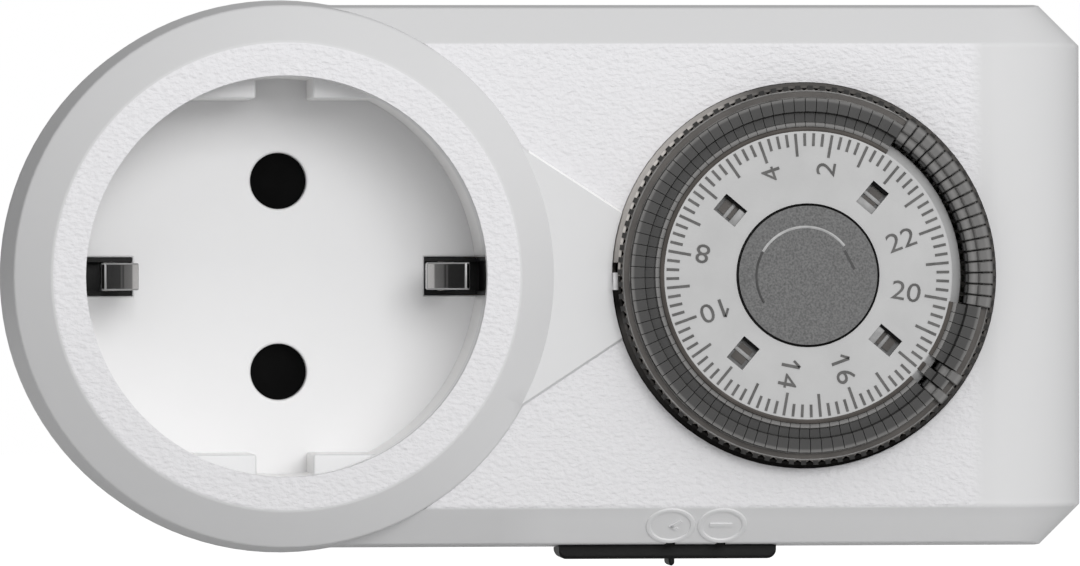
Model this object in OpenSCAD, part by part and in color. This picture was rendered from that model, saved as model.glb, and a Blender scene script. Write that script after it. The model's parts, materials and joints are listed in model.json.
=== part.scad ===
// Plug-in timer switch: a pass-through mains socket with a 24-hour segment dial beside it.
// Sizes are in millimetres. Z points up and the front faces -Y. The origin is the centre of
// the plug's end face, between its two pins.

/* [Housing] */
// Distance from the socket axis to the dial axis
dial_x = 51.2; // [50.8:0.1:51.6]
// Distance from the socket axis to the flat right end
end_x = 79.7; // [79:0.1:80]
// Radius of the round end at the foot of its chamfer
round_r = 26.65; // [26.5:0.05:26.8]
// Half height of the straight walls at the foot of their chamfer
half_h = 26.5; // [26.3:0.05:26.5]
// Radius of the curve between the front face and the right end, which the chamfer follows
end_curve = 10; // [9:0.5:10]
// Width and depth of the chamfer around the front
chamfer = 3.7; // [3.6:0.05:3.75]
// How much wider the housing is at the joint of its shells than at the foot of the chamfer
flare = 0.8; // [0.6:0.05:0.9]
// Wall thickness of both shells
wall = 2; // [1.8:0.1:2.2]

/* [Depths in front of the plug face] */
// Rear face of the housing, which meets the wall plate
wall_z = 17.5; // [17:0.1:18]
// Joint line between the two shells
split_z = 31; // [30.6:0.1:31]
// Flat front face around the dial
face_z = 43.5; // [43.4:0.1:43.6]
// Front ring around the socket well
ring_z = 47.5; // [47.4:0.1:47.6]

/* [Socket and plug] */
// Radius of the socket well
well_r = 19.66; // [19.6:0.02:19.7]
// Depth of the socket well
well_depth = 17.5; // [17:0.1:18]
// Distance between the two pins
pin_pitch = 19; // [18.8:0.1:19.2]
// Radius of a plug pin
pin_r = 2.4; // [2.35:0.05:2.4]
// Length of a plug pin outside the plug face
pin_len = 19; // [18.5:0.1:19.5]
// Radius of a pin hole in the well floor
pin_hole_r = 2.8; // [2.6:0.1:3]
// Distance between the two flats that guide the plug
guide_gap = 35; // [34.8:0.1:35.2]

/* [Dial] */
// Number of tappets, one for each quarter of an hour
tappets = 96; // [96]
// Angle of the first switched-on tappet's edge
first_edge = -10.5; // [-12:0.5:-9]
// Travel of a tappet from off to on
tappet_travel = 0.92; // [0.8:0.02:0.95]
// Radius of the knurled rim
rim_r = 18.36; // [18.3:0.01:18.4]
// Radius of the light dial face
face_r = 14.3; // [14.2:0.05:14.35]
// Radius of the centre knob
knob_r = 6.95; // [6.8:0.05:7]

/* [Gears] */
// Gear module: pitch diameter divided by the number of teeth
gear_m = 0.4; // [0.4]
// Teeth of the dial gear
dial_teeth = 72; // [72]
// Teeth of the clutch pinion that drives the dial gear
clutch_pinion_teeth = 12; // [12]
// Teeth of the clutch wheel
clutch_wheel_teeth = 36; // [36]
// Teeth of the first and second wheels
wheel_teeth = 40; // [40]
// Teeth of every small pinion
pinion_teeth = 10; // [10]

/* [Override slider] */
// Travel of the slider from timer to always on
slide_travel = 5.05; // [4.8:0.05:5.1]
// Place of the slider's middle along the housing
slide_x = 38.3; // [37.9:0.1:38.5]

/* [Hidden] */
$fn = 72;
eps = 0.01;

// Housing, worked out
floor_z = ring_z - well_depth;             // front of the well floor
floor_t = 2;                               // thickness of the well floor
side_flare = 0.6 * flare;                  // the straight walls flare less
rim_t = 2;                                 // thickness of the ring around the well
cup_r = well_r + 1.74;                     // outside of the socket cup
cup_top = ring_z - rim_t;                  // the cup ends under the ring
rear_floor = wall_z + wall;                // inside of the rear shell
lip_h = 1.2;                               // height of the locating lip between the shells
end_top = face_z - end_curve;              // where the right end starts to curve
plug_boss_r = 18.4;                        // outside of the plug
plug_boss_in = 16.4;                       // inside of the plug
collar_r = 2.88;                           // shoulder of each pin inside the plug
hole_r = 19.05;                            // dial hole in the front face
tan_half = sqrt(2) - 1;                    // tangent of half of 45 degrees
shell_gap = 0.05;                          // play between the two shells' lips

// Screws: x and y of each
screws = [[24.8, 21.6], [24.8, -21.6], [73.4, 20.4], [73.4, -20.4]];
boss_r = 2.6;
screw_r = 1.3;

// Movement: x and y of each arbor
motor_at = [63, -11.2];
gear_one_at = motor_at + gear_m * (wheel_teeth + pinion_teeth) / 2 * [cos(120), sin(120)];
gear_two_at = gear_one_at + [0, gear_m * (wheel_teeth + pinion_teeth) / 2];
dial_at = [dial_x, 0];
dial_reach = gear_m * (dial_teeth + clutch_pinion_teeth) / 2;
clutch_reach = gear_m * (clutch_wheel_teeth + pinion_teeth) / 2;
clutch_at = meeting_point(dial_at, dial_reach, gear_two_at, clutch_reach);
arbor_r = 0.7;
bore_gap = 0.05;

// Depths of the movement
plate_t = 1.4;
front_plate_z = 35.6;
can_z = rear_floor + plate_t;
can_top = 30.6;
can_r = 10.5;
pillars = [[37, 18.6], [66, 18], [48.5, -19], [72.3, -1]];

// Dial, worked out
tappet_pitch = 360 / tappets;
ring_floor_z = 41.2;
rim_top = 46.2;
head_top = 47.2;
spindle_r = 3;
on_first = 0;                               // first tappet of the long switched-on stretch
on_count = 18;                              // tappets in that stretch
single_on = [-7, -9];                       // two more that are switched on
movable = [0, 17, -1, 18];                  // tappets that are nodes of their own
fixed_on = concat([for (k = [on_first : on_count - 1]) if (!is_movable(k)) k], single_on);
fixed_off = [for (k = [on_count : tappets - 1])
             if (!is_movable(k) && !is_movable(k - tappets)
                 && len(search(k - tappets, single_on)) == 0) k];

// Switch
lever_at = [29.5, -14];
lever_angle = 3;                            // degrees that the lever turns
plunger_y = -2;
plunger_r = 0.7;
switch_box = [[22.4, -9.6, 22.6], [28, 8.4, 33.4]];

function is_movable(k) = len(search(k, movable)) > 0;

// Where two circles meet, on the left of the line from the first centre to the second
function meeting_point(a, ra, b, rb) =
    let (d = norm(b - a), u = (b - a) / d, along = (ra * ra - rb * rb + d * d) / (2 * d))
    a + along * u + sqrt(ra * ra - along * along) * [-u[1], u[0]];

function direction(a, b) = atan2(b[1] - a[1], b[0] - a[0]);

// Stands the part up: x stays, y becomes up, and z becomes forwards, away from the wall
module upright() {
    rotate([90, 0, 0]) children();
}

module at(p, z = 0) {
    translate([p[0], p[1], z]) children();
}

module block(low, high) {
    translate(low) cube(high - low);
}

module tube(r_out, r_in, z_low, z_high) {
    translate([0, 0, z_low]) difference() {
        cylinder(h = z_high - z_low, r = r_out);
        translate([0, 0, -1]) cylinder(h = z_high - z_low + 2, r = r_in);
    }
}

module rod(r, z_low, z_high) {
    translate([0, 0, z_low]) cylinder(h = z_high - z_low, r = r);
}

// A flat strip of metal along a line of points in x and z, of the given width in y
module strip(points, thick, width) {
    half = thick / 2;
    last = len(points) - 1;
    side = [for (i = [0 : last])
            let (a = points[max(i - 1, 0)], b = points[min(i + 1, last)], d = (b - a) / norm(b - a))
            [-d[1], d[0]] * half];
    outline = concat([for (i = [0 : last]) points[i] + side[i]],
                     [for (i = [last : -1 : 0]) points[i] - side[i]]);
    translate([0, width / 2, 0]) rotate([90, 0, 0]) linear_extrude(width) polygon(outline);
}

// ---------------------------------------------------------------- housing

// Round end of the housing, drawn in by `inset`
module round_end(inset) {
    foot = ring_z - chamfer - inset * tan_half;
    top = ring_z - inset;
    foot_r = round_r - inset;
    rod(foot_r + flare, wall_z, split_z);
    translate([0, 0, split_z]) cylinder(h = foot - split_z, r1 = foot_r + flare, r2 = foot_r);
    translate([0, 0, foot]) cylinder(h = top - foot, r1 = foot_r, r2 = foot_r - (top - foot));
}

// Straight part of the housing, drawn in by `inset`. Its chamfer follows the front face, round the
// curve and down the right end, where it cuts the corners.
module straight_part(inset) {
    foot = face_z - chamfer - inset * tan_half;
    top = face_z - inset;
    side = half_h - inset;
    wide = side + side_flare;
    edge = side - (top - foot);
    reach = wide - edge + 1;
    far = edge + reach;
    right = end_x - inset;
    curve_x = end_x - end_curve;
    intersection() {
        rotate([90, 0, 90]) linear_extrude(end_x + 1)
            polygon([[-wide, wall_z], [wide, wall_z], [wide, split_z], [side, foot], [side, top + 1],
                     [-side, top + 1], [-side, foot], [-wide, split_z]]);
        union() {
            rotate([90, 0, 90]) linear_extrude(curve_x)
                polygon([[-far, wall_z], [far, wall_z], [far, top - reach], [edge, top], [-edge, top],
                         [-far, top - reach]]);
            intersection() {
                translate([curve_x, 0, end_top]) rotate([90, 0, 0])
                    chamfered_drum(end_curve - inset, edge, reach);
                block([curve_x - 1, -far, end_top - 1], [right + 1, far, top + 1]);
            }
            translate([0, 0, wall_z]) linear_extrude(end_top - wall_z)
                polygon([[curve_x - 5, -far], [right - reach, -far], [right, -edge], [right, edge],
                         [right - reach, far], [curve_x - 5, far]]);
        }
    }
}

// Drum about z of the given half height, with a 45 degree cone at each end
module chamfered_drum(r, half, cone_h) {
    rod(r, -half, half);
    for (s = [0, 1]) mirror([0, 0, s]) translate([0, 0, half]) cylinder(h = cone_h, r1 = r, r2 = r - cone_h);
}

module body_form(inset) {
    union() {
        round_end(inset);
        straight_part(inset);
    }
}

// The part of a form between two depths
module slab(z_low, z_high) {
    intersection() {
        children();
        block([-40, -40, z_low], [100, 40, z_high]);
    }
}

module rear_shell() {
    color("whitesmoke") upright() difference() {
        union() {
            slab(wall_z, split_z) body_form(0);
            slab(split_z - 2, split_z + lip_h - shell_gap) body_form(wall / 2 + shell_gap);
            rod(plug_boss_r, 0, wall_z + wall);
        }
        difference() {
            slab(rear_floor, split_z + 2) body_form(wall);
            for (p = screws) at(p) rod(boss_r, 0, split_z);
        }
        rod(plug_boss_in, wall, rear_floor + 1);
        // pin holes, the hole for an earth pin, guide grooves and earth recesses of the plug
        for (s = [-1, 1]) {
            at([0, s * pin_pitch / 2]) rod(collar_r + 0.02, -1, wall + 1);
            block([-2.7, s > 0 ? 16.9 : -20, -1], [2.7, s > 0 ? 20 : -16.9, wall_z]);
            block([s > 0 ? 17.2 : -20, -3.2, -1], [s > 0 ? 20 : -17.2, 3.2, wall_z - 1]);
            block([s > 0 ? 16 : -18, -1.6, wall_z - 3.5], [s > 0 ? 18 : -16, 1.6, wall_z - 2.5]);
        }
        at([-10, 0]) rod(3.1, -1, wall + 1);
        for (p = screws) at(p) {
            rod(screw_r, wall_z - 1, split_z + 1);
            rod(2.1, wall_z - 1, wall_z + 2.6);
        }
    }
}

module front_shell() {
    color("whitesmoke") upright() difference() {
        union() {
            difference() {
                slab(split_z, ring_z + 1) body_form(0);
                slab(split_z - 1, ring_z + 1) body_form(wall);
                slab(split_z - 1, split_z + lip_h) body_form(wall / 2);
            }
            // screw bosses
            intersection() {
                slab(split_z, ring_z) body_form(wall / 2);
                for (p = screws) at(p) rod(boss_r, split_z, ring_z);
            }
            wedge();
        }
        rod(well_r, cup_top - 1, ring_z + 1);
        at(dial_at) rod(hole_r, face_z - wall - 1, ring_z);
        for (p = screws) at(p) rod(1, split_z - 1, split_z + 7.5);
        // slot for the override slider's neck
        block([slide_x - 3.4, -half_h - 1, 33], [slide_x + 3.4 + slide_travel + 0.2, -half_h + 3, 36]);
    }
    color("whitesmoke") upright() index_tab();
}

// Raised field that narrows from the ring to the dial
module wedge() {
    wide = [13.4, 5.8];
    reach = [22, 33.6];
    slope = 0.5;
    low = face_z - 0.3;
    intersection() {
        hull() {
            translate([0, 0, low]) linear_extrude(eps)
                polygon([[reach[0], -wide[0] - slope], [reach[1], -wide[1] - slope],
                         [reach[1], wide[1] + slope], [reach[0], wide[0] + slope]]);
            translate([0, 0, face_z + slope]) linear_extrude(eps)
                polygon([[reach[0], -wide[0]], [reach[1], -wide[1]],
                         [reach[1], wide[1]], [reach[0], wide[0]]]);
        }
        block([22.6, -20, low - 1], [40, 20, ring_z]);
    }
}

// Small pointer that reaches from the wedge to the dial's edge
module index_tab() {
    tip = dial_x - rim_r - 0.08;
    block([dial_x - hole_r - 0.5, -1.4, face_z - wall], [tip, 0.3, face_z - 0.2]);
    block([dial_x - hole_r + 0.05, -1.4, face_z - wall], [tip, 0.3, face_z + 1.9]);
}

module housing_screws() {
    color("dimgray") upright() for (p = screws) at(p) difference() {
        union() {
            rod(2, wall_z + 0.4, wall_z + 2.6);
            rod(0.98, wall_z + 2.6, split_z + 6.5);
        }
        block([-1.3, -0.3, wall_z], [1.3, 0.3, wall_z + 1.4]);
        block([-0.3, -1.3, wall_z], [0.3, 1.3, wall_z + 1.4]);
    }
}

// ---------------------------------------------------------------- socket and plug

module socket_cup() {
    guide_y = guide_gap / 2;
    guide_top = ring_z - 5;
    color("whitesmoke") upright() difference() {
        union() {
            tube(cup_r, well_r, floor_z - floor_t, cup_top);
            rod(cup_r - 1, floor_z - floor_t, floor_z);
            intersection() {
                rod(cup_r - 1, floor_z - 1, guide_top);
                union() {
                    for (x = [-1, 1], y = [-1, 1])
                        block([x > 0 ? 2.8 : -9.4, y > 0 ? guide_y : -22, floor_z - 1],
                              [x > 0 ? 9.4 : -2.8, y > 0 ? 22 : -guide_y, ring_z]);
                }
            }
        }
        for (s = [-1, 1]) {
            at([0, s * pin_pitch / 2]) rod(pin_hole_r, floor_z - floor_t - 1, floor_z + 1);
            block([s > 0 ? 14.56 : -25, -1.9, floor_z - floor_t - 1], [s > 0 ? 25 : -14.56, 1.9, ring_z]);
        }
    }
}

// Disc in the plug's end that holds the pins
module pin_carrier() {
    color("gainsboro") upright() difference() {
        rod(15.9, wall, 5);
        for (s = [-1, 1]) at([0, s * pin_pitch / 2]) rod(collar_r + 0.02, 0, 6);
        at([-10, 0]) rod(3.1, 0, 6);
    }
}

module plug_pin(y) {
    tip = 1;
    at([0, y]) union() {
        rod(pin_r, tip - pin_len, eps);
        translate([0, 0, -pin_len]) cylinder(h = tip, r1 = pin_r - tip, r2 = pin_r);
        rod(collar_r, 0, 5);
        rod(3.3, 5, 6);
        rod(1.5, 6, 7.4);
    }
}

module live_pin() {
    color("silver") upright() plug_pin(pin_pitch / 2);
}

module neutral_pin() {
    color("silver") upright() plug_pin(-pin_pitch / 2);
}

// Springy earth strip in the side of the plug, with a tail that turns inside
module plug_earth(s) {
    union() {
        block([s > 0 ? 17.3 : -17.9, -2.6, 1.5], [s > 0 ? 17.9 : -17.3, 2.6, wall_z - 2.55]);
        block([s > 0 ? 14.6 : -17.9, -1.5, wall_z - 3.35], [s > 0 ? 17.9 : -14.6, 1.5, wall_z - 2.6]);
        block([s > 0 ? 14.6 : -15.4, -1.5, wall_z - 3.35], [s > 0 ? 15.4 : -14.6, 1.5, 20]);
    }
}

module plug_earth_left() {
    color("silver") upright() plug_earth(-1);
}

module plug_earth_right() {
    color("silver") upright() plug_earth(1);
}

// Sleeve behind the hole in the plug's face, for a fixed earth pin
module earth_sleeve() {
    color("silver") upright() at([-10, 0]) union() {
        tube(3, 2.45, 2.2, 14);
        translate([-1, 2.3, 14 - eps]) cube([2, 0.7, 6 + eps]);
    }
}

// Strip that joins both earth clips, the plug's earth strips and the earth sleeve
module earth_bridge() {
    color("silver") upright() difference() {
        union() {
            block([-17.1, -1.5, 20], [17.1, 1.5, 20.8]);
            block([-11, 1.4, 20], [-9, 3, 20.8]);
            rod(2.6, 20, 20.8);
        }
        rod(1.56, 19, 22);
    }
}

module earth_clip(s) {
    points = [[16.6, 20.8], [16.6, 27.4], [17.1, 31], [14.5, 37.2], [14.5, 39.2], [17.9, 45]];
    mirror([s > 0 ? 0 : 1, 0, 0]) strip(points, 0.6, 2.7);
}

module earth_clip_left() {
    color("silver") upright() earth_clip(-1);
}

module earth_clip_right() {
    color("silver") upright() earth_clip(1);
}

// Dark channels that line the recesses behind the earth clips
module clip_channels() {
    low = floor_z - 3.6;
    slab_top = floor_z - floor_t;
    in_well = floor_z - 0.1;
    color("black") upright() for (s = [-1, 1]) mirror([s > 0 ? 0 : 1, 0, 0]) union() {
        block([20.2, -1.86, low], [21.2, 1.86, cup_top - 0.1]);
        block([17.7, -1.86, low], [20.3, 1.86, slab_top]);
        block([14.6, -1.86, low], [16, 1.86, slab_top]);
        for (y = [-1.86, 1.46]) {
            block([14.6, y, low], [20.3, y + 0.4, in_well]);
            block([19.75, y, low], [20.3, y + 0.4, cup_top - 0.1]);
        }
    }
}

// Moulded frame under the well that holds the sleeves and the shutter's post
module contact_carrier() {
    color("gainsboro") upright() difference() {
        union() {
            rod(13.6, 8.4, 9.8);
            for (s = [-1, 1]) at([0, s * pin_pitch / 2]) rod(4.6, 8.4, 24);
            block([-1.2, -7, 8.4], [1.2, 7, 19.8]);
            rod(2.9, 8.4, 19.8);
            rod(1.5, 8.4, 27.8);
        }
        for (s = [-1, 1]) at([0, s * pin_pitch / 2]) rod(3.25, 7, 25);
        at([-10, 0]) rod(3.3, 7, 11);
    }
}

// Sleeve of a socket contact, slit so that it grips a pin
module pin_sleeve(y) {
    at([0, y]) difference() {
        tube(3.15, 2.45, 10.2, 25.2);
        block([-0.4, -4, 16], [0.4, 4, 26]);
    }
}

module live_contact() {
    color("silver") upright() union() {
        pin_sleeve(pin_pitch / 2);
        at([0, pin_pitch / 2]) rod(3.15, 9.6, 10.2);
    }
}

module neutral_contact() {
    color("silver") upright() union() {
        pin_sleeve(-pin_pitch / 2);
        at([0, -pin_pitch / 2]) rod(3.15, 9.6, 10.2);
    }
}

// Rivetted strap from the neutral pin straight to its contact
module neutral_strap() {
    color("goldenrod") upright() difference() {
        at([0, -pin_pitch / 2]) rod(2.6, 6, 9.6);
        at([0, -pin_pitch / 2]) rod(1.5, 5, 7.4);
    }
}

// Strap from the live pin to the switch's fixed contact
module live_strap_in() {
    y = pin_pitch / 2;
    color("goldenrod") upright() difference() {
        union() {
            block([-2.2, y - 2.2, 6.3], [12.6, y + 0.7, 7.1]);
            block([11.8, y - 2.2, 6.3], [12.6, y + 0.7, 21.6]);
            block([11.8, y - 2.2, 21], [25.4, y + 0.7, 21.6]);
            block([23.7, y - 0.7, 21], [25.4, y + 0.7, 31.4]);
        }
        at([0, y]) rod(1.5, 5, 8);
    }
}

// Strap from the switch's moving blade to the live socket contact
module live_strap_out() {
    y = pin_pitch / 2;
    color("goldenrod") upright() difference() {
        union() {
            block([1, y - 1.2, 24.2], [20.9, y + 1.2, 24.8]);
            block([18.9, -11.9, 24.2], [20.9, y + 1.2, 24.8]);
            block([18.9, -11.9, 24.2], [26.6, -10.3, 24.8]);
            block([25.6, -11.9, 24.2], [26.6, -9.9, 31.6]);
        }
        at([0, y]) rod(3.16, 24, 25);
    }
}

// Turning safety shutter just behind the well floor
module shutter() {
    lobe = 19;
    color("black") upright() difference() {
        union() {
            rod(3.4, 25.9, 27.7);
            for (a = [90, 270])
                rotate([0, 0, a - lobe]) translate([0, 0, 25.9]) rotate_extrude(angle = 2 * lobe)
                    translate([2, 0]) square([10.6, 1.8]);
        }
        rod(1.55, 25, 28);
    }
}

module shutter_spring() {
    color("silver") upright() union() {
        tube(2.6, 1.9, 24.2, 25.7);
        block([2.2, -0.3, 24.2], [8, 0.3, 24.8]);
    }
}

// ---------------------------------------------------------------- gears

// Flank of a tooth at radius r: half of the tooth's angle there
function tooth_half(teeth, r, play) =
    let (pitch_r = gear_m * teeth / 2, base_r = pitch_r * cos(20), at_pitch = 90 / teeth,
         inv_pitch = tan(20) * 180 / PI - 20,
         press = acos(min(1, base_r / max(r, base_r))),
         inv = tan(press) * 180 / PI - press)
    at_pitch + inv_pitch - inv - play / pitch_r * 90 / PI;

// Outline of a spur gear with one tooth pointing at angle 0
function gear_points(teeth, play = 0.07) =
    let (pitch_r = gear_m * teeth / 2, root = pitch_r - 1.2 * gear_m, tip = pitch_r + 0.82 * gear_m,
         low = max(root + 0.02, pitch_r * cos(20)),
         radii = [low, (low + tip) / 2, tip],
         foot = tooth_half(teeth, low, play))
    [for (k = [0 : teeth - 1])
        let (mid = 360 * k / teeth)
        for (p = concat([[root, -foot]],
                        [for (r = radii) [r, -tooth_half(teeth, r, play)]],
                        [for (i = [2 : -1 : 0]) [radii[i], tooth_half(teeth, radii[i], play)]],
                        [[root, foot]]))
            p[0] * [cos(mid + p[1]), sin(mid + p[1])]];

// A spur gear with a tooth centred on the angle `turn`
module spur(teeth, turn, z_low, z_high) {
    translate([0, 0, z_low]) rotate([0, 0, turn]) linear_extrude(z_high - z_low)
        polygon(gear_points(teeth));
}

// Turn of a gear whose gap faces a neighbour's tooth, in the direction `toward`
function gap_turn(teeth, toward) = toward + 180 / teeth;

module movement_plate() {
    color("gainsboro") upright() difference() {
        union() {
            block([22.4, -14, rear_floor], [28, 10, can_z]);
            block([26, -20.6, rear_floor], [69.6, 20.6, can_z]);
            block([69, -16.6, rear_floor], [75, 16.6, can_z]);
        }
        for (p = screws) at(p) rod(boss_r + 0.3, wall_z, can_z + 1);
        at(motor_at) rod(arbor_r + bore_gap, wall_z, can_z + 1);
        at(clutch_at) rod(0.95, wall_z, can_z + 1);
    }
}

// Plate in front of the gears, with the spindle that the dial turns on
module front_plate() {
    top = front_plate_z + plate_t;
    color("gainsboro") upright() difference() {
        union() {
            block([33.4, -18.8, front_plate_z], [69.4, 20.6, top]);
            block([69, -16.4, front_plate_z], [74.6, 16.4, top]);
            block([44, -21, front_plate_z], [53, -18, top]);
            at(dial_at) rod(spindle_r, front_plate_z, 45.3);
        }
        at(dial_at) rod(1.1, front_plate_z - 1, 46);
        at(motor_at) rod(arbor_r + bore_gap, front_plate_z - 1, top + 1);
        at(gear_one_at) rod(arbor_r + 0.02, front_plate_z - 1, top + 1);
        at(gear_two_at) rod(arbor_r + 0.02, front_plate_z - 1, top + 1);
        at(clutch_at) rod(0.95, front_plate_z - 1, top + 1);
        for (p = pillars) at(p) rod(0.9, front_plate_z - 1, top + 1);
    }
}

module plate_pillars() {
    color("silver") upright() for (p = pillars) at(p) union() {
        rod(1.7, can_z, front_plate_z);
        rod(0.88, front_plate_z - eps, front_plate_z + plate_t);
        rod(1.5, front_plate_z + plate_t, front_plate_z + plate_t + 0.5);
    }
}

module motor_can() {
    color("silver") upright() at(motor_at) difference() {
        rod(can_r, can_z, can_top - 0.6);
        rod(can_r - 0.6, can_z + 0.6, can_top);
        rod(arbor_r + bore_gap, can_z - 1, can_z + 1);
    }
}

module motor_cover() {
    color("silver") upright() at(motor_at) difference() {
        rod(can_r, can_top - 0.6, can_top);
        rod(1.6, can_top - 2, can_top + 1);
        for (a = [45 : 90 : 315]) rotate([0, 0, a]) translate([7.4, 0]) rod(1, can_top - 2, can_top + 1);
    }
}

module coil_bobbin() {
    low = can_z + 0.6;
    high = can_top - 0.6;
    color("ivory") upright() at(motor_at) union() {
        tube(5.6, 5, low, high);
        tube(9.8, 5, low, low + 0.6);
        tube(9.8, 5, high - 0.6, high);
    }
}

module coil_winding() {
    color("chocolate") upright() at(motor_at) tube(9.2, 5.62, can_z + 1.2, can_top - 1.2);
}

// Two wires from the motor coil to the plug's contacts
module motor_leads() {
    color("firebrick") upright() {
        wire([[55.3, -18.8, 22.4], [53.5, -21, 22.4], [50, -22.6, 22.4], [32, -22.6, 22.4],
              [28.9, -18.4, 22.4], [22, -16.5, 22.4], [9, -14.6, 22.6], [2.9, -12.6, 24.9]], 0.5);
        wire([[56.6, -20, 24.4], [54.6, -22.2, 24.4], [51, -23.6, 24.4], [31, -23.6, 24.4],
              [27.6, -17.6, 24.4], [22, -15, 23.4], [21.3, -8, 22.9], [21.3, 6, 22.6],
              [18.8, 8.6, 22.15]], 0.5);
    }
}

// A round wire swept along a line of points
module wire(points, r) {
    sides = 8;
    last = len(points) - 1;
    rings = [for (i = [0 : last])
             let (d = points[min(i + 1, last)] - points[max(i - 1, 0)], out = d / norm(d),
                  across = cross(out, [0, 0, 1]) / norm(cross(out, [0, 0, 1])), up = cross(across, out))
             for (k = [0 : sides - 1])
                 points[i] + r * (across * cos(360 * k / sides) + up * sin(360 * k / sides))];
    skin = [for (i = [0 : last - 1], k = [0 : sides - 1])
            let (a = i * sides + k, b = i * sides + (k + 1) % sides)
            [a, b, b + sides, a + sides]];
    polyhedron(rings, concat([[for (k = [sides - 1 : -1 : 0]) k]], skin,
                             [[for (k = [0 : sides - 1]) last * sides + k]]));
}

module rotor_magnet() {
    color("dimgray") upright() at(motor_at) tube(4.5, arbor_r, can_z + 1, can_top - 1);
}

module rotor_arbor() {
    mesh = direction(motor_at, gear_one_at);
    color("silver") upright() at(motor_at) union() {
        rod(arbor_r, rear_floor + 0.2, front_plate_z + plate_t - 0.2);
        spur(pinion_teeth, mesh, can_top + 0.5, 32.9);
    }
}

// Fixed pins that the two compound gears turn on
module gear_pins() {
    top = front_plate_z + plate_t + 0.4;
    color("silver") upright() {
        at(gear_one_at) union() {
            rod(arbor_r, can_top + 0.3, top);
            rod(1.2, can_top + 0.3, can_top + 0.8);
        }
        at(gear_two_at) union() {
            rod(arbor_r, can_z, top);
            rod(1.5, can_z, 27.4);
        }
    }
}

module gear_one() {
    color("wheat") upright() at(gear_one_at) difference() {
        union() {
            spur(wheel_teeth, gap_turn(wheel_teeth, direction(gear_one_at, motor_at)), 31.6, 32.7);
            spur(pinion_teeth, direction(gear_one_at, gear_two_at), 32.7 - eps, 35.1);
        }
        rod(arbor_r + bore_gap, 30, 36);
    }
}

module gear_two() {
    color("wheat") upright() at(gear_two_at) difference() {
        union() {
            spur(wheel_teeth, gap_turn(wheel_teeth, direction(gear_two_at, gear_one_at)), 33.6, 34.8);
            rod(1.3, 30.9, 33.7);
            spur(pinion_teeth, direction(gear_two_at, clutch_at), 27.6, 31);
        }
        rod(arbor_r + bore_gap, 27, 36);
    }
}

// Shaft of the slip clutch, with the pinion that drives the dial
module clutch_arbor() {
    color("silver") upright() at(clutch_at) union() {
        rod(0.9, rear_floor + 0.2, 37.3);
        spur(clutch_pinion_teeth, direction(clutch_at, dial_at), 37.25, 39.1);
        rod(3.2, 30.1, 30.9);
        rod(1.6, 26.6, 27.4);
    }
}

module clutch_wheel() {
    color("wheat") upright() at(clutch_at) difference() {
        spur(clutch_wheel_teeth, gap_turn(clutch_wheel_teeth, direction(clutch_at, gear_two_at)),
             28.9, 30);
        rod(0.95, 28, 31);
    }
}

module clutch_spring() {
    color("silver") upright() at(clutch_at) difference() {
        translate([0, 0, 27.4]) cylinder(h = 1.4, r1 = 1.8, r2 = 3);
        translate([0, 0, 27.9]) cylinder(h = 1.2, r1 = 1.8, r2 = 2.8);
        rod(0.92, 27, 29);
    }
}

// ---------------------------------------------------------------- dial

module dial_bezel() {
    color("black") upright() at(dial_at) difference() {
        rotate_extrude() polygon([[18.5, 40.5], [20.4, 40.5], [20.4, face_z - wall], [18.98, face_z - wall],
                                  [18.98, face_z + 0.15], [18.66, 46], [18.5, 46]]);
        block([-21, -1.45, 41.4], [-17, 1.3, 47]);
        // the flange stops where the front face curves away
        difference() {
            block([17.8, -21, 40], [21, 21, face_z - wall + 0.2]);
            rod(18.98, 39, face_z);
        }
    }
}

// Knurled ring that carries the tappets and turns on the spindle
module dial_ring() {
    slot_low = 15.15;
    slot_high = 17.3;
    color("dimgray") upright() at(dial_at) difference() {
        union() {
            translate([0, 0, ring_floor_z]) linear_extrude(1) difference() {
                circle(r = 17.9);
                for (k = [0 : tappets - 1]) rotate([0, 0, tappet_angle(k)])
                    translate([slot_low, -0.33]) square([slot_high - slot_low, 0.66]);
            }
            translate([0, 0, ring_floor_z]) linear_extrude(rim_top - ring_floor_z) difference() {
                polygon(knurl_points());
                circle(r = 17.5);
            }
            rod(5, 37.4, 45.1);
            tube(6.9, 5.8, ring_floor_z + 0.5, 44);
            tube(13, 12, ring_floor_z + 0.5, 45.5);
            for (a = [50 : 90 : 320]) rotate([0, 0, a]) {
                block([9.2, -0.7, ring_floor_z + 0.5], [10.2, 0.7, 46.4]);
                block([9.2, -0.7, 45.6], [10.9, 0.7, 46.4]);
            }
        }
        rod(spindle_r + bore_gap, 37, 46);
    }
}

function tappet_angle(k) = first_edge + (k + 0.5) * tappet_pitch;

// Outline of the rim: one rounded grip tooth for each tappet
function knurl_points() =
    [for (k = [0 : tappets - 1])
        let (mid = tappet_angle(k))
        for (p = [[-0.5, -0.16], [-0.3, 0], [0.3, 0], [0.5, -0.16]])
            (rim_r + p[1]) * [cos(mid + p[0] * tappet_pitch * 0.9), sin(mid + p[0] * tappet_pitch * 0.9)]];

module dial_gear() {
    color("wheat") upright() at(dial_at) difference() {
        spur(dial_teeth, gap_turn(dial_teeth, direction(dial_at, clutch_at)), 37.6, 39);
        rod(5, 37, 40);
    }
}

module dial_face() {
    color("lightgray") upright() at(dial_at) difference() {
        rotate_extrude() polygon([[knob_r + 0.12, 45.5], [15.25, 45.5], [15.25, 45.62], [14.36, 46.9],
                                  [face_r, head_top], [knob_r + 0.12, head_top]]);
        for (a = [50 : 90 : 320]) rotate([0, 0, a]) block([8.6, -1, 45], [11.3, 1, 48]);
    }
}

module centre_knob() {
    color("gray") upright() at(dial_at) union() {
        rod(knob_r, 46.3, 47.45);
        tube(knob_r, 5.8, 44, 46.4);
    }
}

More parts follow.
